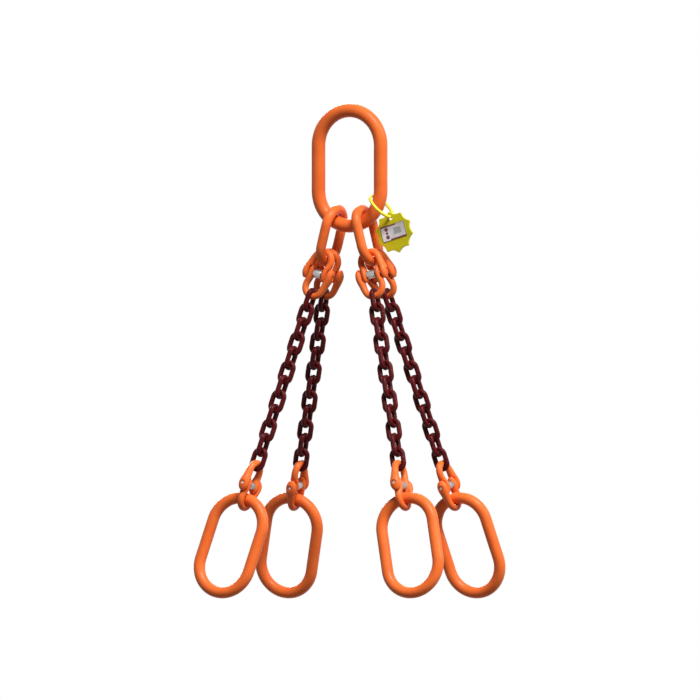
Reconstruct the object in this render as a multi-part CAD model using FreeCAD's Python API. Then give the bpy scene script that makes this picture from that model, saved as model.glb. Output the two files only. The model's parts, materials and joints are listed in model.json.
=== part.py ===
import FreeCAD, Part
import os
from math import acos, atan2, cos, degrees, hypot, radians, sin, tan

os.makedirs("parts", exist_ok=True)

# A four leg chain sling, as it hangs from a hook in its master link.
# Millimetres and degrees. The origin is the inside of the master link's upper bend.
# X runs across the master link, Y from front to back, and Z is up.

# Clearances
seat_gap = 0.3  # between two pieces that hang in each other
ear_gap = 0.3  # between ears, and between an ear and the sleeve, along the pin
swing_gap = 0.4  # round an ear, for the other half of the coupling
bore_gap = 0.3  # round a load pin, in the ears
sleeve_grip = 0.1  # round a load pin, in the sleeve

# Master link
master_bar = 19.0
master_inner_length = 140.0
master_inner_width = 78.0

# Intermediate links, one to each side of the master link's lower bend
middle_bar = 13.5
middle_inner_length = 61.0
middle_inner_width = 34.0
middle_seat_angle = 35.0  # round the master link's lower bend, from its lowest point
middle_lean = 14.7  # outward, from the vertical

# Legs
leg_side_lean = 14.7  # to the side, from the vertical
leg_fore_lean = 10.9  # to the front or the back, from the vertical
leg_seat_angle = 38.0  # round the intermediate link's lower bend, from its lowest point

# Connecting links: two forged halves, a load pin and a sleeve
coupling_length = 73.8
coupling_bar = 9.4
bow_inner_radius = 9.0
outer_ear_radius = 7.4
outer_ear_reach = 9.0  # of its tip, beyond the pin
outer_ear_width = 9.4
outer_ear_round = 3.4  # on the outward rim
inner_ear_radius = 7.0
inner_ear_reach = 9.2  # of its tip, beyond the pin
inner_ear_width = 7.8
inner_ear_round = 1.4
arm_middle_width = 10.6
arm_middle_depth = 10.6
arm_spread = 0.9  # width of an arm's end, as a share of its ear
pin_diameter = 7.0
pin_end_depth = 0.3  # below the face of an outer ear
pin_chamfer = 0.5
sleeve_diameter = 12.0
sleeve_length = 12.0
sleeve_chamfer = 0.6

# Chain
chain_bar = 7.0
chain_pitch = 21.0
chain_inner_width = 9.6
links_in_piece = 2
pieces_in_leg = 6

# End links
end_bar = 16.0
end_inner_length = 119.0
end_inner_width = 63.0

# Identification tag and its loop
loop_wire = 4.2
loop_diameter = 40.2  # at the middle of the wire
loop_seat_angle = 78.0  # round the master link's lower bend, from its lowest point
loop_lean = 45.8  # below the horizontal
tag_diameter = 60.6
tag_thickness = 3.0
tag_points = 10
tag_point_round = 2.0
tag_edge_round = 0.5
scallop_depth = 5.0
tag_hole = 7.0
tag_hole_offset = 20.7  # from the middle of the tag
tag_swing = 16.0  # outward, from hanging straight
label_length = 38.0
label_height = 21.4
label_thickness = 0.6
label_corner = 1.0
label_rise = 0.8  # above the middle of the tag

# Worked out from the values above
chain_inner_length = chain_pitch + seat_gap
coupling_inner_length = coupling_length - 2 * coupling_bar
bow_radius = bow_inner_radius + coupling_bar / 2
bow_height = coupling_length / 2 - coupling_bar / 2 - bow_radius
inner_ear_start = sleeve_length / 2 + ear_gap
inner_ear_end = inner_ear_start + inner_ear_width
outer_ear_start = inner_ear_end + ear_gap
outer_ear_end = outer_ear_start + outer_ear_width
leg_places = {
    "left_front": (-1, -1),
    "left_back": (-1, 1),
    "right_front": (1, -1),
    "right_back": (1, 1),
}

Vector = FreeCAD.Vector
origin = Vector(0, 0, 0)
across = Vector(1, 0, 0)
rearward = Vector(0, 1, 0)
upward = Vector(0, 0, 1)


def disc(radius, middle, normal):
    return Part.Face(Part.Wire(Part.makeCircle(radius, middle, normal)))


def joined(pieces):
    return pieces[0].fuse(pieces[1:]).removeSplitter()


def on_round(radius, angle):
    # A point on a circle in the XZ plane, by its angle from +X towards +Z.
    return Vector(radius * cos(radians(angle)), 0, radius * sin(radians(angle)))


def oblong_link(bar, inner_length, inner_width):
    # A closed link of round bar in the XZ plane, its middle at the origin.
    bend = across * ((inner_width + bar) / 2)
    half = upward * ((inner_length - inner_width) / 2)
    right = disc(bar / 2, bend - half, upward)
    left = disc(bar / 2, -bend - half, upward)
    top = disc(bar / 2, bend + half, upward)
    return joined([
        right.extrude(half * 2),
        left.extrude(half * 2),
        top.revolve(half, -rearward, 180),
        left.revolve(-half, -rearward, 180),
    ])


def rounded_ear(start, end, radius, reach, rounding, rim_ends):
    # An oval ear about the load pin, which lies on the X axis.
    middle = across * start
    oval = Part.Ellipse(middle + upward * reach, middle + rearward * radius, middle)
    ear = Part.Face(Part.Wire(oval.toShape())).extrude(across * (end - start))
    rims = [
        edge for edge in ear.Edges
        if edge.BoundBox.XLength < 0.01 and any(abs(edge.BoundBox.XMin - x) < 0.01 for x in rim_ends)
    ]
    return ear.makeFillet(rounding, rims)


def arm_root_angle(ear_offset):
    # How far round the bow, from +X, a straight arm to an ear leaves it.
    to_ear = degrees(atan2(-bow_height, ear_offset))
    spread = degrees(acos(bow_radius / hypot(ear_offset, bow_height)))
    return to_ear + spread if ear_offset > 0 else to_ear - spread + 360


def arm(root_angle, ear_offset, ear_width, ear_radius):
    # The bow's round bar carried on to an ear, where it is flat and wide.
    root = upward * bow_height + on_round(bow_radius, root_angle)
    run = across * ear_offset - root
    bar_end = Part.Circle(origin, upward, coupling_bar / 2)
    middle = Part.Ellipse(upward * (run.Length / 2), arm_middle_depth / 2, arm_middle_width / 2)
    flat_end = Part.Ellipse(upward * run.Length, ear_radius * arm_spread, ear_width / 2)
    shape = Part.makeLoft([Part.Wire(curve.toShape()) for curve in (bar_end, middle, flat_end)], True)
    along = Vector(run).normalize()
    turn = FreeCAD.Rotation(rearward, along.cross(rearward), along, "XYZ")
    shape.Placement = FreeCAD.Placement(root, turn)
    return shape


def coupling_half():
    # The upper half in the XZ plane, with the load pin on the X axis:
    # its bow on top, its outer ear at +X and its inner ear at -X.
    outer_middle = (outer_ear_start + outer_ear_end) / 2
    inner_middle = -(inner_ear_start + inner_ear_end) / 2
    outer_root = arm_root_angle(outer_middle)
    inner_root = arm_root_angle(inner_middle)
    bow_middle = upward * bow_height
    bow_start = on_round(bow_radius, outer_root)
    bow_disc = disc(coupling_bar / 2, bow_middle + bow_start, bow_start.cross(rearward))
    forging = joined([
        bow_disc.revolve(bow_middle, -rearward, inner_root - outer_root),
        arm(outer_root, outer_middle, outer_ear_width, outer_ear_radius),
        arm(inner_root, inner_middle, inner_ear_width, inner_ear_radius),
        rounded_ear(outer_ear_start, outer_ear_end, outer_ear_radius, outer_ear_reach,
                    outer_ear_round, [outer_ear_end]),
        rounded_ear(-inner_ear_end, -inner_ear_start, inner_ear_radius, inner_ear_reach,
                    inner_ear_round, [-inner_ear_end, -inner_ear_start]),
    ])
    # Room for the other half's inner ear and the sleeve, then for its outer ear, then for the pin.
    inner_room = Part.makeCylinder(
        inner_ear_reach + swing_gap, inner_ear_start + outer_ear_start, across * -inner_ear_start, across
    )
    outer_room = Part.makeCylinder(
        outer_ear_reach + swing_gap, outer_ear_width * 2, across * -inner_ear_end, -across
    )
    bore = Part.makeCylinder(
        pin_diameter / 2 + bore_gap, 4 * outer_ear_end, across * (-2 * outer_ear_end), across
    )
    return forging.cut([inner_room, outer_room, bore])


def chamfered_bar(diameter, length, chamfer):
    bar = Part.makeCylinder(diameter / 2, length, across * (-length / 2), across)
    rims = [edge for edge in bar.Edges if isinstance(edge.Curve, Part.Circle)]
    return bar.makeChamfer(chamfer, rims)


def pin_and_sleeve():
    pin = chamfered_bar(pin_diameter, 2 * (outer_ear_end - pin_end_depth), pin_chamfer)
    sleeve = chamfered_bar(sleeve_diameter, sleeve_length, sleeve_chamfer)
    bore = Part.makeCylinder(
        pin_diameter / 2 + sleeve_grip, 2 * sleeve_length, across * -sleeve_length, across
    )
    return Part.makeCompound([pin, sleeve.cut(bore)])


def tag_outline():
    # Points on the rim with a hollow between each two, one point at the top.
    step = 360 / tag_points
    edges = []
    for number in range(tag_points):
        angle = 90 + number * step
        tip = on_round(tag_diameter / 2, angle)
        hollow = on_round(tag_diameter / 2 - scallop_depth, angle + step / 2)
        next_tip = on_round(tag_diameter / 2, angle + step)
        edges.append(Part.Arc(tip, hollow, next_tip).toShape())
    return Part.Face(Part.Wire(edges))


def tag_plate():
    sharp = tag_outline().extrude(rearward * tag_thickness)
    points = [edge for edge in sharp.Edges if isinstance(edge.Curve, Part.Line)]
    plate = sharp.makeFillet(tag_point_round, points)
    rims = [edge for edge in plate.Edges if edge.BoundBox.YLength < 0.01]
    plate = plate.makeFillet(tag_edge_round, rims)
    plate.translate(rearward * (-tag_thickness / 2))
    hole = Part.makeCylinder(
        tag_hole / 2, 2 * tag_thickness, Vector(0, -tag_thickness, tag_hole_offset), rearward
    )
    return plate.cut(hole)


def tag_label():
    # A plate on the front of the tag.
    corner = Vector(
        -label_length / 2, -tag_thickness / 2 - label_thickness, label_rise - label_height / 2
    )
    plate = Part.makeBox(label_length, label_thickness, label_height, corner)
    uprights = [edge for edge in plate.Edges if abs(edge.tangentAt(edge.FirstParameter).y) > 0.99]
    return plate.makeFillet(label_corner, uprights)


def placed(shape, point, up, side, turn=0):
    # Stands a shape at a point: its Z along up, its X along side, after a turn about its own Z.
    stood = shape.copy()
    stood.rotate(origin, upward, turn)
    frame = FreeCAD.Placement(point, FreeCAD.Rotation(side, up.cross(side), up, "XYZ"))
    stood.Placement = frame.multiply(stood.Placement)
    return stood


def master_bend_point(radius, angle):
    # A point at a radius in the master link's lower bend, by its angle from the lowest point.
    middle = upward * (-master_inner_length + master_inner_width / 2)
    return middle + Vector(radius * sin(radians(angle)), 0, -radius * cos(radians(angle)))


def middle_frame(side):
    # The middle of an intermediate link's upper bend bar, and the way down from it.
    seat_radius = master_inner_width / 2 - seat_gap - middle_bar / 2
    top = master_bend_point(seat_radius, side * middle_seat_angle)
    down = Vector(side * sin(radians(middle_lean)), 0, -cos(radians(middle_lean)))
    return top, down


def middle_bend_point(side, fore, radius):
    # A point at a radius in the intermediate link's lower bend, where a leg hangs.
    top, down = middle_frame(side)
    middle = top + down * (middle_inner_length + middle_bar / 2 - middle_inner_width / 2)
    angle = radians(leg_seat_angle)
    return middle + down * (radius * cos(angle)) + rearward * (fore * radius * sin(angle))


def leg_frame(side, fore):
    # The middle of the upper coupling's bow bar, the way up the leg, and across it.
    seat_radius = middle_inner_width / 2 - seat_gap - coupling_bar / 2
    top = middle_bend_point(side, fore, seat_radius)
    lean = Vector(side * tan(radians(leg_side_lean)), fore * tan(radians(leg_fore_lean)), -1)
    up = -lean.normalize()
    return top, up, (across - up * up.x).normalize()


def leg_middles():
    # How far below the upper coupling's bow bar the middle of each piece of a leg hangs.
    links = links_in_piece * pieces_in_leg
    lengths = [coupling_inner_length] + [chain_inner_length] * links
    lengths += [coupling_inner_length, end_inner_length]
    inner_top = coupling_bar / 2
    middles = []
    for length in lengths:
        middles.append(inner_top + length / 2)
        inner_top += length - seat_gap
    return middles


def loop_frame():
    # The middle of the tag's loop, and the wire's middle where the tag hangs.
    seat = master_bend_point(master_inner_width / 2 - seat_gap - loop_wire / 2, loop_seat_angle)
    outward = on_round(loop_diameter / 2, -loop_lean)
    return seat + outward, seat + outward * 2


def master_nodes():
    master = oblong_link(master_bar, master_inner_length, master_inner_width)
    middle = oblong_link(middle_bar, middle_inner_length, middle_inner_width)
    nodes = {"master_link": placed(master, upward * (-master_inner_length / 2), upward, across)}
    for name, side in (("left", -1), ("right", 1)):
        top, down = middle_frame(side)
        point = top + down * ((middle_inner_length + middle_bar) / 2)
        flat = rearward.cross(-down)
        nodes["intermediate_link_" + name] = placed(middle, point, -down, flat, 90)
    return nodes


def tag_nodes():
    loop_middle, tag_seat = loop_frame()
    loop_axis = (tag_seat - loop_middle).cross(rearward)
    up = on_round(1, 90 + tag_swing)
    wire_rise = tag_hole_offset + tag_hole / 2 - loop_wire / 2 - seat_gap
    tag_middle = tag_seat - up * wire_rise
    return {
        "tag_loop": Part.makeTorus(loop_diameter / 2, loop_wire / 2, loop_middle, loop_axis),
        "tag_plate": placed(tag_plate(), tag_middle, up, rearward.cross(up)),
        "tag_label": placed(tag_label(), tag_middle, up, rearward.cross(up)),
    }


def coupling_nodes(name, half, pin, point, up, side, turn):
    lower_half = half.copy()
    lower_half.rotate(origin, rearward, 180)
    return {
        name + "_upper_half": placed(half, point, up, side, turn),
        name + "_lower_half": placed(lower_half, point, up, side, turn),
        name + "_pin": placed(pin, point, up, side, turn),
    }


def leg_nodes(name, side, fore):
    half = coupling_half()
    pin = pin_and_sleeve()
    link = oblong_link(chain_bar, chain_inner_length, chain_inner_width)
    end = oblong_link(end_bar, end_inner_length, end_inner_width)
    top, up, flat = leg_frame(side, fore)
    points = [top - up * drop for drop in leg_middles()]
    upper_turn = 0 if side > 0 else 180
    nodes = coupling_nodes(name + "_upper_coupling", half, pin, points[0], up, flat, upper_turn)
    for piece in range(pieces_in_leg):
        first = 1 + piece * links_in_piece
        links = [
            placed(link, points[number], up, flat, 90 * (number % 2))
            for number in range(first, first + links_in_piece)
        ]
        nodes[f"{name}_chain_{piece + 1}"] = Part.makeCompound(links)
    nodes |= coupling_nodes(name + "_lower_coupling", half, pin, points[-2], up, flat, 90 * fore)
    nodes[name + "_end_link"] = placed(end, points[-1], up, flat)
    return nodes


def sling_nodes():
    nodes = master_nodes() | tag_nodes()
    for name, (side, fore) in leg_places.items():
        nodes |= leg_nodes(name, side, fore)
    return nodes


for node, shape in sling_nodes().items():
    shape.exportStep(f"parts/{node}.step")
    print(node, len(shape.Solids), round(shape.Volume), shape.isValid())
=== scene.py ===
import bmesh
import bpy
import json
from math import cos, pi, radians, sin
from mathutils import Matrix, Vector


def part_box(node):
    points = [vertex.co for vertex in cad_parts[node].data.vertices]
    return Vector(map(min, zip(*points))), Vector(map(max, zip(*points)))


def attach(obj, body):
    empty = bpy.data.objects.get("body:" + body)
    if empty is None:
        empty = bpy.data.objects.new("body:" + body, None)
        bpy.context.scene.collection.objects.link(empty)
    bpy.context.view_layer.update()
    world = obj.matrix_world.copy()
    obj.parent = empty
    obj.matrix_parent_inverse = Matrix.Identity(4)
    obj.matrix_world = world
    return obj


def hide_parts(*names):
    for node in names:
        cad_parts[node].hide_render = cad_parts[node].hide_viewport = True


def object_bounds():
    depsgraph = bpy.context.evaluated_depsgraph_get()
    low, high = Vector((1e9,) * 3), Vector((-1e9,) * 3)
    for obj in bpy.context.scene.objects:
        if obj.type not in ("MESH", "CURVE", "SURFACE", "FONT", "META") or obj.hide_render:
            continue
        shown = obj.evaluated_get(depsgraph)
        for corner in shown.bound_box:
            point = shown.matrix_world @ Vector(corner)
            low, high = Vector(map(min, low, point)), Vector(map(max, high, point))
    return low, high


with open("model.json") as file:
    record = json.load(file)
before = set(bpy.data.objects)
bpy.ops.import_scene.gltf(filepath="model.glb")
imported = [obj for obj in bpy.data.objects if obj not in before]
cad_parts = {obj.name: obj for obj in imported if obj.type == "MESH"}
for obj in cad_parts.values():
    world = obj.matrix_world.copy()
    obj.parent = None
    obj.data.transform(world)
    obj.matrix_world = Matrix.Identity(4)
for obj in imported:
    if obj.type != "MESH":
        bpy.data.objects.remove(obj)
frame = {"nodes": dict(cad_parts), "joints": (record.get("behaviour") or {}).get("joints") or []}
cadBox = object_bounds()
nodes = frame["nodes"]
jointOf = {joint["name"]: joint for joint in frame["joints"]}
legs = ["left_front", "left_back", "right_front", "right_back"]
mm = 0.001
print("frame loaded")


# small tools for shaders and for edit mode

bench = {
    "doubles": 0.01 * mm,  # corners nearer to each other than this are one
    "sliver": 0.02 * mm,  # faces thinner than this go
    "facing": 0.99,  # a normal's least share along an axis, for a face that looks that way
    "cutterSides": 64,
}


class Sock:
    # an output socket of a material, so that shader sums read as sums
    def __init__(self, tree, out=None):
        self.tree = tree
        self.out = out

    def node(self, kind, settings=None, inputs=None, result=0):
        made = self.tree.nodes.new(kind)
        for key, value in (settings or {}).items():
            setattr(made, key, value)
        for key, value in (inputs or {}).items():
            if isinstance(value, Sock):
                self.tree.links.new(value.out, made.inputs[key])
            else:
                made.inputs[key].default_value = value
        return Sock(self.tree, made.outputs[result])

    def math(self, operation, other=0.0):
        return self.node("ShaderNodeMath", {"operation": operation}, {0: self, 1: other})

    def vectorMath(self, operation, other=(0, 0, 0), result="Vector"):
        return self.node("ShaderNodeVectorMath", {"operation": operation}, {0: self, 1: other}, result)

    def __add__(self, other):
        return self.math("ADD", other)

    def __sub__(self, other):
        return self.math("SUBTRACT", other)

    def __rsub__(self, other):
        return self.math("MULTIPLY", -1.0) + other

    def __mul__(self, other):
        return self.math("MULTIPLY", other)

    __radd__ = __add__
    __rmul__ = __mul__

    def size(self):
        return self.math("ABSOLUTE")

    def along(self, direction, start):
        # distance along a direction from a start point, in metres
        return self.vectorMath("DOT_PRODUCT", direction, "Value") - start.dot(direction)

    def rise(self, low, high):
        # 0 below low, 1 above high, smooth between
        return self.node("ShaderNodeMapRange", {"interpolation_type": "SMOOTHSTEP"},
                         {0: self, 1: low, 2: high})

    def inside(self, half, soft):
        # 1 where the value is within half of nought
        return 1 - self.size().rise(half - soft, half + soft)

    def noise(self, scale, detail=2.0, roughness=0.5):
        return self.node("ShaderNodeTexNoise", inputs={"Vector": self, "Scale": scale, "Detail": detail,
                                                       "Roughness": roughness})

    def mix(self, first, second):
        # self is the mask between two colours
        return self.node("ShaderNodeMix", {"data_type": "RGBA"}, {0: self, 6: first, 7: second}, 2)

    def mottled(self, look):
        # a finish's colour, and its deeper one in the patches of this noise
        return self.rise(*look["patches"]).mix(look["colour"], look["deeper"])

    def roughened(self, look):
        # a finish's lowest roughness, and what this noise adds
        lowest, added = look["roughness"]
        return self * added + lowest

    def bump(self, height):
        # height in metres
        return self.node("ShaderNodeBump", inputs={"Height": self * (1 / height), "Distance": height})


def newMaterial(name, settings):
    made = bpy.data.materials.new(name)
    made.use_nodes = True
    surface = made.node_tree.nodes["Principled BSDF"]
    for key, value in settings.items():
        surface.inputs[key].default_value = value
    place = Sock(made.node_tree).node("ShaderNodeTexCoord", result="Object")
    return made, surface, place


def feed(surface, **sources):
    for key, value in sources.items():
        surface.id_data.links.new(value.out, surface.inputs[key.replace("_", " ")])


def giveFinish(piece, finish):
    piece.data.materials.clear()
    piece.data.materials.append(finish)


def deselect():
    if bpy.context.mode != "OBJECT":
        bpy.ops.object.mode_set(mode="OBJECT")
    bpy.ops.object.select_all(action="DESELECT")


def takeUp(piece):
    # makes one piece the only selected one and the active one
    deselect()
    piece.select_set(True)
    bpy.context.view_layer.objects.active = piece


def named(name):
    piece = bpy.context.object
    piece.name = name
    piece.data.name = name
    return piece


def begun(name, scale=(1, 1, 1)):
    # names a new primitive, puts its size and place in its mesh, and opens it for editing
    piece = named(name)
    piece.scale = scale
    bpy.ops.object.transform_apply(location=True, rotation=True, scale=True)
    bpy.ops.object.mode_set(mode="EDIT")
    return piece


def pick(test, kind="VERT"):
    # edit mode: selects vertices by place, or faces by middle and normal
    bpy.ops.mesh.select_mode(type=kind)
    bpy.ops.mesh.select_all(action="DESELECT")
    mesh = bmesh.from_edit_mesh(bpy.context.object.data)
    for part in (mesh.verts if kind == "VERT" else mesh.faces):
        if test(part.co) if kind == "VERT" else test(part.calc_center_median(), part.normal):
            part.select_set(True)
    mesh.select_flush_mode()
    bmesh.update_edit_mesh(bpy.context.object.data)


def closeSkin():
    # edit mode: joins the corners that lie together, turns every face outwards, and leaves
    bpy.ops.mesh.select_all(action="SELECT")
    bpy.ops.mesh.remove_doubles(threshold=bench["doubles"])
    bpy.ops.mesh.normals_make_consistent(inside=False)
    bpy.ops.object.mode_set(mode="OBJECT")


def finishWith(piece, kind, **settings):
    made = piece.modifiers.new(kind.lower(), kind)
    for key, value in settings.items():
        setattr(made, key, value)
    bpy.context.view_layer.objects.active = piece
    bpy.ops.object.modifier_apply(modifier=made.name)


def cleaned(piece):
    # drops doubled corners, hair-thin faces and whatever hangs on nothing
    takeUp(piece)
    bpy.ops.object.mode_set(mode="EDIT")
    bpy.ops.mesh.select_mode(type="VERT")
    bpy.ops.mesh.select_all(action="SELECT")
    bpy.ops.mesh.remove_doubles(threshold=bench["doubles"])
    bpy.ops.mesh.dissolve_degenerate(threshold=bench["sliver"])
    bpy.ops.mesh.delete_loose()
    bpy.ops.object.mode_set(mode="OBJECT")


def cutWith(piece, cutter):
    deselect()
    finishWith(piece, "BOOLEAN", operation="DIFFERENCE", solver="EXACT", object=cutter)
    bpy.data.objects.remove(cutter)


def barCutter(radius, start, end):
    # a round cutter along X
    deselect()
    bpy.ops.mesh.primitive_cylinder_add(vertices=bench["cutterSides"], radius=radius, depth=end - start,
                                        location=((start + end) / 2, 0, 0), rotation=(0, pi / 2, 0))
    return named("cutter")


def smoothed(piece, angle):
    takeUp(piece)
    bpy.ops.object.shade_smooth_by_angle(angle=radians(angle))


def placedCopy(source, name, place, material, body, node):
    piece = source.copy()
    piece.data = source.data.copy()
    piece.name = name
    piece.data.name = name
    bpy.context.scene.collection.objects.link(piece)
    piece.data.transform(place)
    giveFinish(piece, material)
    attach(piece, body)
    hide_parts(node)


# where the legs lie

def jointPoint(name):
    return Vector(jointOf[name + "_swing"]["pos_m"])


def legFrame(leg):
    # up the leg, across its end link, and a point on its middle line
    start = jointPoint(leg + "_upper_coupling_bottom")
    up = (start - jointPoint(leg + "_chain_1")).normalized()
    across = Vector(jointOf[leg + "_upper_coupling_bottom_swing"]["axis"]).normalized()
    if across.x < 0:
        across.negate()
    return up, across, start


def awayFromMiddle(leg, across):
    return across if "right" in leg else -across


def standing(point, up, side):
    # stands a piece made about the origin: its Z along up, its X along side
    return Matrix.Translation(point) @ Matrix((side, up.cross(side), up)).transposed().to_4x4()


# finishes: a noise is its scale, its detail and its roughness

orangeCoat = {
    "colour": (0.84, 0.157, 0.031, 1),
    "deeper": (0.77, 0.136, 0.026, 1),
    "patches": (0.35, 0.7),  # the noise at which the deeper colour starts and is full
    "shine": 0.13,
    "roughness": (0.24, 0.12),  # the lowest, and what the mottle adds
    "mottle": (34, 4),
    "grain": (1500, 2),
    "grainHeight": 0.02 * mm,
    "ripple": (260, 2),
    "rippleHeight": 0.04 * mm,
    "weldHalf": 2.2 * mm,
    "weldSoft": 2 * mm,
    "weldHeight": 0.05 * mm,
    "weldFade": (-12 * mm, -6 * mm),  # toward the link's middle from its bar's: no ridge, full ridge
    "relief": 0.2 * mm,
}


def orangeFinish(name, run, point, side):
    # powder coat on forged steel, with the weld's low ridge round the bar at point;
    # the bar runs along run, and side leads out of the link there
    made, surface, place = newMaterial(name, {"Specular IOR Level": orangeCoat["shine"]})
    mottle = place.noise(*orangeCoat["mottle"])
    thisBar = place.along(side, point).rise(*orangeCoat["weldFade"])
    ridge = place.along(run, point).inside(orangeCoat["weldHalf"], orangeCoat["weldSoft"]) * thisBar
    height = (place.noise(*orangeCoat["grain"]) * orangeCoat["grainHeight"]
              + place.noise(*orangeCoat["ripple"]) * orangeCoat["rippleHeight"]
              + ridge * orangeCoat["weldHeight"])
    feed(surface, Base_Color=mottle.mottled(orangeCoat), Roughness=mottle.roughened(orangeCoat),
         Normal=height.bump(orangeCoat["relief"]))
    return made


forgingCoat = {
    "mottle": (68, 4),
    "pits": (700, 3, 0.6),
    "pitHeight": 0.07 * mm,
    "seamHalf": 0.45 * mm,
    "seamSoft": 0.3 * mm,
    "seamHeight": 0.12 * mm,
}


def forgingFinish():
    # the same coat over a drop forging, with its parting line and fine scale pits
    made, surface, place = newMaterial("orangeForging", {"Specular IOR Level": orangeCoat["shine"]})
    seam = place.node("ShaderNodeAttribute", {"attribute_name": "fromPartingLine"}, result="Fac")
    mottle = place.noise(*forgingCoat["mottle"])
    ridge = seam.inside(forgingCoat["seamHalf"], forgingCoat["seamSoft"])
    height = (ridge * forgingCoat["seamHeight"]
              + place.noise(*forgingCoat["pits"]) * forgingCoat["pitHeight"]
              + place.noise(*orangeCoat["grain"]) * orangeCoat["grainHeight"])
    feed(surface, Base_Color=mottle.mottled(orangeCoat), Roughness=mottle.roughened(orangeCoat),
         Normal=height.bump(orangeCoat["relief"]))
    return made


chainCoat = {
    "colour": (0.090, 0.0064, 0.0072, 1),
    "deeper": (0.063, 0.0044, 0.0052, 1),
    "worn": (0.13, 0.018, 0.020, 1),
    "patches": (0.35, 0.7),
    "wornSpecks": (0.62, 0.72),
    "speckWear": 0.5,
    "ridgeWear": 0.25,
    "shine": 0.065,
    "roughness": (0.2, 0.2),
    "mottle": (90, 4, 0.6),
    "mottleHeight": 0.06 * mm,
    "fine": (1200, 2),
    "fineHeight": 0.02 * mm,
    "bar": 7 * mm,
    "pitch": 21 * mm,
    "gap": 0.3 * mm,  # between links
    "weldHalf": 0.9 * mm,
    "weldSoft": 0.7 * mm,
    "weldHeight": 0.22 * mm,
    "weldSideSoft": 1 * mm,
    "relief": 0.2 * mm,
    "nodesInLeg": 6,
}


def chainFinish(leg):
    # dipped dark red links, each with a butt weld half way down one side
    made, surface, place = newMaterial(leg + "ChainCoat", {"Specular IOR Level": chainCoat["shine"]})
    up, across, start = legFrame(leg)
    firstEnd = jointPoint(leg + "_chain_1") - up * (chainCoat["gap"] + chainCoat["bar"]) / 2
    pitches = place.along(-up, firstEnd) * (1 / chainCoat["pitch"])
    fromWeld = (pitches.math("FRACT") - 0.5) * chainCoat["pitch"]
    weldWay = (across + up.cross(across)).normalized()
    weldSide = place.along(weldWay, start).rise(0, chainCoat["weldSideSoft"])
    ridge = fromWeld.inside(chainCoat["weldHalf"], chainCoat["weldSoft"]) * weldSide
    mottle = place.noise(*chainCoat["mottle"])
    fine = place.noise(*chainCoat["fine"])
    height = (ridge * chainCoat["weldHeight"] + mottle * chainCoat["mottleHeight"]
              + fine * chainCoat["fineHeight"])
    wear = fine.rise(*chainCoat["wornSpecks"]) * chainCoat["speckWear"] + ridge * chainCoat["ridgeWear"]
    feed(surface, Base_Color=wear.mix(mottle.mottled(chainCoat), chainCoat["worn"]),
         Roughness=mottle.roughened(chainCoat), Normal=height.bump(chainCoat["relief"]))
    return made


bareSteel = {
    "colour": (0.44, 0.43, 0.42, 1),
    "deeper": (0.25, 0.24, 0.23, 1),
    "patches": (0.4, 0.75),
    "shine": 0.4,
    "roughness": (0.24, 0.25),
    "stain": (160, 4, 0.6),
    "stainHeight": 0.02 * mm,
    "turning": 4200,  # of the lathe's rings, radians for each metre
    "turningHeight": 0.01 * mm,
    "paintFrom": 22.0 * mm,  # how far along the pin the halves' paint begins
    "paintFull": 22.3 * mm,
    "paintSoft": 0.2 * mm,
    "paintHeight": 0.04 * mm,
    "paintRoughness": 0.2,
    "upperBare": -1 * mm,  # the radius that the paint leaves bare: below nought, none of it
    "lowerBare": 1.9 * mm,
    "relief": 0.1 * mm,
}


def steelFinish(name, bareRadius):
    # turned steel; the halves' paint laps over the pin's ends as far in as the radius that is left bare
    made, surface, place = newMaterial(name, {"Specular IOR Level": bareSteel["shine"]})
    fromMiddle = place.node("ShaderNodeAttribute", {"attribute_name": "fromPinMiddle"}, result="Vector")
    along = fromMiddle.along(Vector((1, 0, 0)), Vector())
    radius = fromMiddle.vectorMath("MULTIPLY", (0, 1, 1)).vectorMath("LENGTH", result="Value")
    soft = bareSteel["paintSoft"]
    paint = (along.size().rise(bareSteel["paintFrom"], bareSteel["paintFull"])
             * radius.rise(bareRadius - soft, bareRadius + soft))
    rings = (along * bareSteel["turning"]).math("SINE")
    stain = place.noise(*bareSteel["stain"])
    height = (rings * bareSteel["turningHeight"] + stain * bareSteel["stainHeight"]
              + paint * bareSteel["paintHeight"])
    feed(surface, Base_Color=paint.mix(stain.mottled(bareSteel), orangeCoat["deeper"]),
         Metallic=1 - paint, Roughness=stain.roughened(bareSteel) + paint * bareSteel["paintRoughness"],
         Normal=height.bump(bareSteel["relief"]))
    return made


for leg in legs:
    finish = chainFinish(leg)
    for number in range(1, chainCoat["nodesInLeg"] + 1):
        giveFinish(nodes[f"{leg}_chain_{number}"], finish)
print("chains finished")

weldFromMiddle = {  # from an oblong link's middle to the middle of the bar at its side
    "master": 48.5 * mm,
    "intermediate": 23.75 * mm,
    "end": 39.5 * mm,
}


def finishLink(node, up, side):
    # the weld lies half way up one long side of the link
    low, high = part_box(node)
    giveFinish(nodes[node], orangeFinish(node + "Coat", up, (low + high) / 2 + side, side.normalized()))


finishLink("master_link", Vector((0, 0, 1)), Vector((-weldFromMiddle["master"], 0, 0)))
for side in ("left", "right"):
    top = jointPoint("intermediate_" + side)
    below = (jointPoint(side + "_front_upper_coupling_top")
             + jointPoint(side + "_back_upper_coupling_top")) / 2
    finishLink("intermediate_link_" + side, (top - below).normalized(),
               Vector((0, -weldFromMiddle["intermediate"], 0)))
for leg in legs:
    up, across, start = legFrame(leg)
    finishLink(leg + "_end_link", up, awayFromMiddle(leg, across) * weldFromMiddle["end"])
print("links finished")


# connecting links: forged halves, load pin and sleeve

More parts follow.
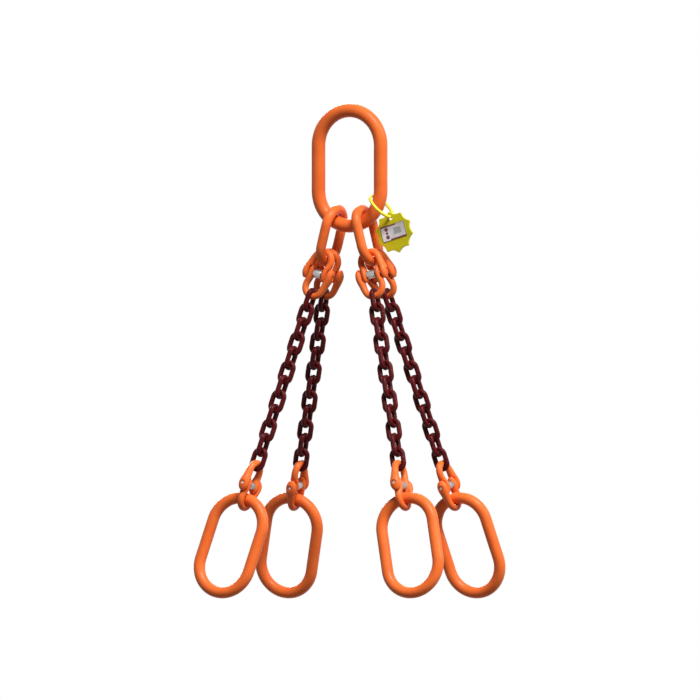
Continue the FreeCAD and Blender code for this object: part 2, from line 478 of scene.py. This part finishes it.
forging = {
    "bar": 4.7 * mm,
    "sides": 8,  # of the bar's ring, before it is subdivided
    "bowRadius": 13.7 * mm,
    "bowOver": 1.02,  # the bow is begun this much larger, because subdividing draws it in
    "bowHeight": 18.5 * mm,
    "bowStart": 15.9,  # round the bow from its wide side, in degrees
    "bowEnd": 190.7,
    "bowSteps": 8,
    # sections down each arm, in mm: height, distance from the middle, half width, half depth
    "outerArm": [(15.5, 15.5, 5.2, 5.4), (9.5, 17.2, 6.0, 6.3), (4.0, 19.0, 5.7, 7.3),
                 (-1.5, 19.2, 5.5, 7.6), (-6.0, 19.0, 4.7, 6.4), (-9.8, 18.8, 3.0, 3.5)],
    "innerArm": [(11.5, -12.2, 4.8, 5.5), (6.5, -10.9, 4.7, 6.5), (0.5, -10.2, 4.5, 7.2),
                 (-5.4, -10.2, 4.2, 6.1), (-9.8, -10.2, 2.8, 3.4)],
    "ringReach": 1.3,  # the first ring's corners are nearer to its middle than this many bars
    "capInset": 1.0 * mm,
    "levels": 3,
    "innerFace": 6.3 * mm,
    "innerBack": 14.1 * mm,
    "outerFace": 14.4 * mm,
    "outerBack": 24.0 * mm,
    "innerRoom": 9.6 * mm,
    "outerRoom": 9.4 * mm,
    "backRoom": 20 * mm,
    "bore": 3.8 * mm,
    "boreEnd": 30 * mm,
    "voxel": 0.42 * mm,
    "softening": 0.5,
    "softenings": 3,
    "keep": 0.22,
    "smoothAngle": 40,
}


def extrudeArm(sections, shrink):
    # edit mode: carries the selected ring down through each section, then closes it
    mesh = bmesh.from_edit_mesh(bpy.context.object.data)
    ring = [vert for vert in mesh.verts if vert.select]
    centre = sum((vert.co for vert in ring), Vector()) / len(ring)
    wide = deep = forging["bar"] / shrink
    level = 0  # the first section lies level, and the ones below keep to it
    for height, middle, halfWidth, halfDepth in sections:
        target = Vector((middle * mm, 0, height * mm))
        newWide, newDeep = halfWidth * mm / shrink, halfDepth * mm / shrink
        bpy.ops.mesh.extrude_region_move(TRANSFORM_OT_translate={"value": target - centre})
        bpy.ops.transform.resize(value=(newWide / wide, newDeep / deep, level), center_override=target)
        centre, wide, deep, level = target, newWide, newDeep, 1
    bpy.ops.mesh.edge_face_add()
    bpy.ops.mesh.inset(thickness=forging["capInset"])


def forgedHalf():
    # an upper half about its load pin: bow on top, wide-set ear at +X, inner ear at -X
    shrink = (2 + cos(2 * pi / forging["sides"])) / 3  # a subdivided ring draws in by this much
    start, end = radians(forging["bowStart"]), radians(forging["bowEnd"])
    bowMiddle = Vector((0, 0, forging["bowHeight"]))
    first = bowMiddle + forging["bowRadius"] * forging["bowOver"] * Vector((cos(start), 0, sin(start)))
    deselect()
    bpy.ops.mesh.primitive_circle_add(vertices=forging["sides"], radius=forging["bar"] / shrink,
                                      location=first, rotation=(0, -start, 0))
    piece = begun("forgedHalf")
    bpy.ops.mesh.select_all(action="SELECT")
    bpy.ops.mesh.spin(steps=forging["bowSteps"], angle=end - start, center=bowMiddle, axis=(0, 1, 0))
    extrudeArm(forging["innerArm"], shrink)
    pick(lambda place: (place - first).length < forging["bar"] * forging["ringReach"])
    extrudeArm(forging["outerArm"], shrink)
    closeSkin()
    finishWith(piece, "SUBSURF", levels=forging["levels"], render_levels=forging["levels"])
    cutWith(piece, barCutter(forging["innerRoom"], -forging["innerFace"], forging["outerFace"]))
    cutWith(piece, barCutter(forging["outerRoom"], -forging["innerBack"] * 2, -forging["innerBack"]))
    cutWith(piece, barCutter(forging["backRoom"], forging["outerBack"], forging["outerBack"] * 2))
    # a voxel skin and a little smoothing round the edges as a die does
    finishWith(piece, "REMESH", mode="VOXEL", voxel_size=forging["voxel"])
    finishWith(piece, "SMOOTH", factor=forging["softening"], iterations=forging["softenings"])
    finishWith(piece, "DECIMATE", ratio=forging["keep"])
    cutWith(piece, barCutter(forging["bore"], -forging["boreEnd"], forging["boreEnd"]))
    finishWith(piece, "TRIANGULATE")
    cleaned(piece)
    fromLine = piece.data.attributes.new("fromPartingLine", "FLOAT", "POINT")
    fromLine.data.foreach_set("value", [vert.co.y for vert in piece.data.vertices])
    smoothed(piece, forging["smoothAngle"])
    return piece


pinShape = {
    "sides": 48,
    "radius": 3.5 * mm,
    "end": 23.2 * mm,
    "chamfer": 0.5 * mm,
    "chamferSteps": 2,
    "centreMark": 1.1 * mm,
    "markDepth": 0.6 * mm,
    "markTaper": 0.25,
    "smoothAngle": 35,
}


def loadPin():
    deselect()
    bpy.ops.mesh.primitive_cylinder_add(vertices=pinShape["sides"], radius=pinShape["radius"],
                                        depth=2 * pinShape["end"], rotation=(0, pi / 2, 0))
    piece = begun("loadPin")
    for sign in (-1, 1):
        # chamfered end with a lathe's centre mark
        pick(lambda middle, normal: normal.x * sign > bench["facing"], "FACE")
        bpy.ops.mesh.bevel(offset=pinShape["chamfer"], segments=pinShape["chamferSteps"], affect="EDGES")
        pick(lambda middle, normal: normal.x * sign > bench["facing"], "FACE")
        bpy.ops.mesh.inset(thickness=pinShape["radius"] - pinShape["chamfer"] - pinShape["centreMark"])
        bpy.ops.mesh.extrude_region_move(
            TRANSFORM_OT_translate={"value": (-sign * pinShape["markDepth"], 0, 0)})
        bpy.ops.transform.resize(value=(1, pinShape["markTaper"], pinShape["markTaper"]),
                                 center_override=(sign * pinShape["end"], 0, 0))
    bpy.ops.object.mode_set(mode="OBJECT")
    return piece


sleeveShape = {
    "radius": 5.8 * mm,
    "bore": 3.6 * mm,
    "half": 6.0 * mm,
    "chamfer": 0.7 * mm,
    "chamferSteps": 2,
    "sides": 56,
    "smoothAngle": 35,
}


def lockSleeve():
    # a section above the pin, its corners chamfered, spun round the pin
    bore, outside = sleeveShape["bore"], sleeveShape["radius"]
    deselect()
    bpy.ops.mesh.primitive_plane_add(size=1, rotation=(pi / 2, 0, 0), location=(0, 0, (bore + outside) / 2))
    piece = begun("lockSleeve", (2 * sleeveShape["half"], outside - bore, 1))
    bpy.ops.mesh.select_all(action="SELECT")
    bpy.ops.mesh.bevel(offset=sleeveShape["chamfer"], segments=sleeveShape["chamferSteps"],
                       affect="VERTICES")
    bpy.ops.mesh.delete(type="ONLY_FACE")
    bpy.ops.mesh.select_all(action="SELECT")
    bpy.ops.mesh.spin(steps=sleeveShape["sides"], angle=2 * pi, center=(0, 0, 0), axis=(1, 0, 0))
    closeSkin()
    return piece


half = forgedHalf()
print("forged half made:", len(half.data.polygons), "faces")
pin, sleeve = loadPin(), lockSleeve()
for piece, shape in ((pin, pinShape), (sleeve, sleeveShape)):
    fromMiddle = piece.data.attributes.new("fromPinMiddle", "FLOAT_VECTOR", "POINT")
    fromMiddle.data.foreach_set("vector", [value for vert in piece.data.vertices for value in vert.co])
    smoothed(piece, shape["smoothAngle"])
forged = forgingFinish()
steels = {"upper": steelFinish("paintedOverSteel", bareSteel["upperBare"]),
          "lower": steelFinish("turnedSteel", bareSteel["lowerBare"])}
turnedOver = Matrix.Rotation(pi, 4, "Y")
for leg in legs:
    up, across, start = legFrame(leg)
    back = up.cross(across)
    # the wide-set ears stand outwards at the upper couplings, and to the front or back at the lower ones
    turns = (("upper", start, awayFromMiddle(leg, across)),
             ("lower", jointPoint(leg + "_lower_coupling_bottom"), back if "back" in leg else -back))
    for end, point, side in turns:
        name = f"{leg}_{end}_coupling"
        place = standing(point, up, side)
        placedCopy(half, name + "_upperForging", place, forged,
                   name + "_top", name + "_upper_half")
        placedCopy(half, name + "_lowerForging", place @ turnedOver, forged,
                   name + "_bottom", name + "_lower_half")
        placedCopy(pin, name + "_loadPin", place, steels[end],
                   name + "_top", name + "_pin")
        placedCopy(sleeve, name + "_lockSleeve", place, steels[end],
                   name + "_top", name + "_pin")
for piece in (half, pin, sleeve):
    bpy.data.objects.remove(piece)
print("connecting links made")


# identification tag and its loop

tagLook = {
    "colour": (0.62, 0.565, 0.014, 1),
    "deeper": (0.53, 0.49, 0.010, 1),
    "patches": (0.3, 0.75),
    "shine": 0.2,
    "roughness": (0.38, 0.2),
    "mottle": (60, 4),
    "scratches": (70, 3, 0.6),
    "scratchTurn": -16,  # degrees from level
    "scratchStretch": (1, 1, 14),
    "scratchHeight": 0.03 * mm,
    "grain": (1300, 2),
    "grainHeight": 0.015 * mm,
    "relief": 0.1 * mm,
}


def tagFinish():
    made, surface, place = newMaterial("tagPaint", {"Specular IOR Level": tagLook["shine"]})
    streaks = place.node("ShaderNodeMapping", inputs={
        "Vector": place, "Rotation": (0, radians(tagLook["scratchTurn"]), 0),
        "Scale": tagLook["scratchStretch"]})
    scuffs = streaks.noise(*tagLook["scratches"])
    height = scuffs * tagLook["scratchHeight"] + place.noise(*tagLook["grain"]) * tagLook["grainHeight"]
    feed(surface, Base_Color=place.noise(*tagLook["mottle"]).mottled(tagLook),
         Roughness=scuffs.roughened(tagLook), Normal=height.bump(tagLook["relief"]))
    return made


loopLook = {
    "colour": (0.92, 0.80, 0.045, 1),
    "deeper": (0.80, 0.68, 0.03, 1),
    "patches": (0.35, 0.7),
    "shine": 0.3,
    "roughness": (0.25, 0.15),
    "mottle": (140, 3),
    "mottleHeight": 0.06 * mm,
    "grain": (1500, 2),
    "grainHeight": 0.01 * mm,
    "relief": 0.1 * mm,
}


def loopFinish():
    made, surface, place = newMaterial("loopCoat", {"Specular IOR Level": loopLook["shine"]})
    mottle = place.noise(*loopLook["mottle"])
    height = mottle * loopLook["mottleHeight"] + place.noise(*loopLook["grain"]) * loopLook["grainHeight"]
    feed(surface, Base_Color=mottle.mottled(loopLook), Roughness=mottle.roughened(loopLook),
         Normal=height.bump(loopLook["relief"]))
    return made


giveFinish(nodes["tag_plate"], tagFinish())
giveFinish(nodes["tag_loop"], loopFinish())

label = {
    "length": 38.0 * mm,
    "height": 21.4 * mm,
    "thickness": 0.6 * mm,
    "corner": 1.0 * mm,
    "cornerSteps": 6,
    "rim": 0.75 * mm,
    "recess": 0.16 * mm,
    "edgeRound": 0.08 * mm,
    "edgeSteps": 2,
    "edgeAngle": 50,
    "smoothAngle": 35,
    "turn": 16.0,
}


def labelPlate():
    # a thin plate with round corners and a raised rim, facing -Y
    deselect()
    bpy.ops.mesh.primitive_cube_add(size=1)
    piece = begun("labelPlate", (label["length"], label["thickness"], label["height"]))
    bpy.ops.mesh.select_mode(type="EDGE")
    bpy.ops.mesh.select_all(action="DESELECT")
    mesh = bmesh.from_edit_mesh(piece.data)
    for edge in mesh.edges:
        edge.select_set(abs(edge.verts[0].co.y - edge.verts[1].co.y) > label["thickness"] / 2)
    bmesh.update_edit_mesh(piece.data)
    bpy.ops.mesh.bevel(offset=label["corner"], segments=label["cornerSteps"], affect="EDGES")
    pick(lambda middle, normal: -normal.y > bench["facing"], "FACE")
    bpy.ops.mesh.inset(thickness=label["rim"])
    bpy.ops.mesh.extrude_region_move(TRANSFORM_OT_translate={"value": (0, label["recess"], 0)})
    bpy.ops.object.mode_set(mode="OBJECT")
    finishWith(piece, "BEVEL", width=label["edgeRound"], segments=label["edgeSteps"],
               limit_method="ANGLE", angle_limit=radians(label["edgeAngle"]))
    cleaned(piece)
    smoothed(piece, label["smoothAngle"])
    return piece


labelLook = {
    "colour": (0.60, 0.58, 0.62, 1),
    "deeper": (0.68, 0.67, 0.68, 1),
    "patches": (0.3, 0.7),
    "edge": (0.12, 0.11, 0.11, 1),
    "rule": (0.11, 0.012, 0.013, 1),
    "panel": (0.12, 0.16, 0.145, 1),
    "coat": 0.3,
    "coatRoughness": 0.2,
    "roughness": (0.3, 0.2),
    "cloud": (230, 3),
    "cloudHeight": 0.02 * mm,
    "relief": 0.1 * mm,
    # the pattern, in mm from the plate's middle
    "edgeWidth": 0.55,
    "edgeSoft": 0.1,
    "ruleInset": 1.0,
    "ruleHalf": 1.15,
    "ruleSoft": 0.12,
    "upperRuleEnd": (5.4, 5.8),
    "lowerRuleStart": (-6.8, -6.4),
    "dotsAt": -10.4,
    "dots": [(5.4, 2.8), (0.1, 1.9), (-5.4, 2.8)],  # height on the plate and radius
    "dotSoft": 0.15,
    "blockAt": (6.0, 0.6),  # across the plate, and up, as in the next two
    "blockHalf": (5.8, 4.4),
    "blockSoft": (1.2, 1.0),
    "blockDepth": 0.95,
    "lineRate": 3.6,  # radians for each mm up the plate
    "lineEdge": (-1.0, 0.2),  # the wave's values between which a line fades in
}


def labelFinish(middle, up, side):
    # pale plate with a dark rim, a dark red rule along part of each long edge,
    # three dots and a block of ruled lines
    made, surface, place = newMaterial("labelFace", {"Coat Weight": labelLook["coat"],
                                                     "Coat Roughness": labelLook["coatRoughness"]})
    across = place.along(side, middle) * (1 / mm)
    above = place.along(up, middle) * (1 / mm)
    halfLength, halfHeight = label["length"] / mm / 2, label["height"] / mm / 2
    edgeWidth, edgeSoft = labelLook["edgeWidth"], labelLook["edgeSoft"]
    rim = 1 - (across.inside(halfLength - edgeWidth, edgeSoft)
               * above.inside(halfHeight - edgeWidth, edgeSoft))
    ruleAt = halfHeight - labelLook["ruleInset"]
    ruleHalf, ruleSoft = labelLook["ruleHalf"], labelLook["ruleSoft"]
    upperRule = (above - ruleAt).inside(ruleHalf, ruleSoft) * (1 - across.rise(*labelLook["upperRuleEnd"]))
    lowerRule = (above + ruleAt).inside(ruleHalf, ruleSoft) * across.rise(*labelLook["lowerRuleStart"])
    red = upperRule.math("MAXIMUM", lowerRule)
    for height, radius in labelLook["dots"]:
        fromDot = ((across - labelLook["dotsAt"]) * (across - labelLook["dotsAt"])
                   + (above - height) * (above - height)).math("SQRT")
        red = red.math("MAXIMUM", fromDot.inside(radius, labelLook["dotSoft"]))
    block = (above * labelLook["lineRate"]).math("SINE").rise(*labelLook["lineEdge"])
    for way, at, reach, soft in zip((across, above), labelLook["blockAt"], labelLook["blockHalf"],
                                    labelLook["blockSoft"]):
        block = block * (way - at).inside(reach, soft)
    cloud = place.noise(*labelLook["cloud"])
    colour = (block * labelLook["blockDepth"]).mix(cloud.mottled(labelLook), labelLook["panel"])
    colour = red.mix(rim.mix(colour, labelLook["edge"]), labelLook["rule"])
    feed(surface, Base_Color=colour, Roughness=cloud.roughened(labelLook),
         Normal=(cloud * labelLook["cloudHeight"]).bump(labelLook["relief"]))
    return made


low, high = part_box("tag_label")
turn = radians(label["turn"])
labelUp, labelSide = Vector((-sin(turn), 0, cos(turn))), Vector((cos(turn), 0, sin(turn)))
labelMiddle = (low + high) / 2
plate = labelPlate()
placedCopy(plate, "tag_labelPlate", standing(labelMiddle, labelUp, labelSide),
           labelFinish(labelMiddle, labelUp, labelSide), "tag", "tag_label")
bpy.data.objects.remove(plate)
print("tag finished")


# floor, light and camera

studio = {
    "azimuth": 28,
    "width": 0.9653,  # of the view, metres
    "middle": (0.0006, -0.3209),  # across the view, and up
    "distance": 3,
    "lampWidth": 25,
    # each lamp's strength and direction: to the right, up, and toward the camera
    "lamps": {
        "key": (4.5, (0.20, 0.82, 0.54)),
        "side": (1.5, (0.80, 0.50, 0.35)),
        "rear": (1.4, (-0.15, 0.35, -0.93)),
    },
    "backdrop": (1, 1, 1, 1),
    "surround": 0.07,  # the backdrop's light on the object
}
turnAway = radians(studio["azimuth"])
toRight = Vector((cos(turnAway), sin(turnAway), 0))
toCamera = Vector((sin(turnAway), -cos(turnAway), 0))
upright = Vector((0, 0, 1))
aim = toRight * studio["middle"][0] + upright * studio["middle"][1]

bpy.ops.object.camera_add(location=aim + toCamera * studio["distance"], rotation=(pi / 2, 0, turnAway))
camera = named("camera")
camera.data.type = "ORTHO"
camera.data.ortho_scale = studio["width"]
bpy.context.scene.camera = camera

for name, (strength, (right, up, toward)) in studio["lamps"].items():
    direction = (toRight * right + upright * up + toCamera * toward).normalized()
    bpy.ops.object.light_add(type="SUN", location=aim + direction * studio["distance"])
    lamp = named(name)
    lamp.data.angle = radians(studio["lampWidth"])
    lamp.data.energy = strength
    lamp.rotation_mode = "QUATERNION"
    lamp.rotation_quaternion = direction.to_track_quat("Z", "Y")


def seenRays(tree):
    # 1 on the rays that show a backdrop, 0 on those that only carry its light
    seen, glossy, through = [Sock(tree).node("ShaderNodeLightPath", result=ray)
                             for ray in ("Is Camera Ray", "Is Glossy Ray", "Is Transmission Ray")]
    return (seen + glossy + through).math("MINIMUM", 1.0)


world = bpy.data.worlds.new("studio")
bpy.context.scene.world = world
world.use_nodes = True
backdrop = world.node_tree.nodes["Background"]
backdrop.inputs["Color"].default_value = studio["backdrop"]
feed(backdrop, Strength=seenRays(world.node_tree) * (1 - studio["surround"]) + studio["surround"])

floorLook = {
    "size": 12,
    "parts": 4,
    "drop": 1.5,  # below the object
    "colour": (0.60, 0.60, 0.60, 1),
    "deeper": (0.585, 0.585, 0.585, 1),
    "bounce": (0.14, 0.14, 0.14, 1),  # its colour in the light that it throws back
    "patches": (0.3, 0.7),
    "mottle": (3, 2),
    "roughness": 0.9,
}
deselect()
bpy.ops.mesh.primitive_grid_add(x_subdivisions=floorLook["parts"], y_subdivisions=floorLook["parts"],
                                size=floorLook["size"], location=(0, 0, cadBox[0].z - floorLook["drop"]))
floor = named("floor")
bpy.ops.object.transform_apply(location=True)
paleFloor, surface, place = newMaterial("paleFloor", {"Roughness": floorLook["roughness"]})
tone = place.noise(*floorLook["mottle"]).mottled(floorLook)
feed(surface, Base_Color=seenRays(paleFloor.node_tree).mix(floorLook["bounce"], tone))
giveFinish(floor, paleFloor)

bpy.context.scene.view_settings.view_transform = "Standard"
print("scene complete")
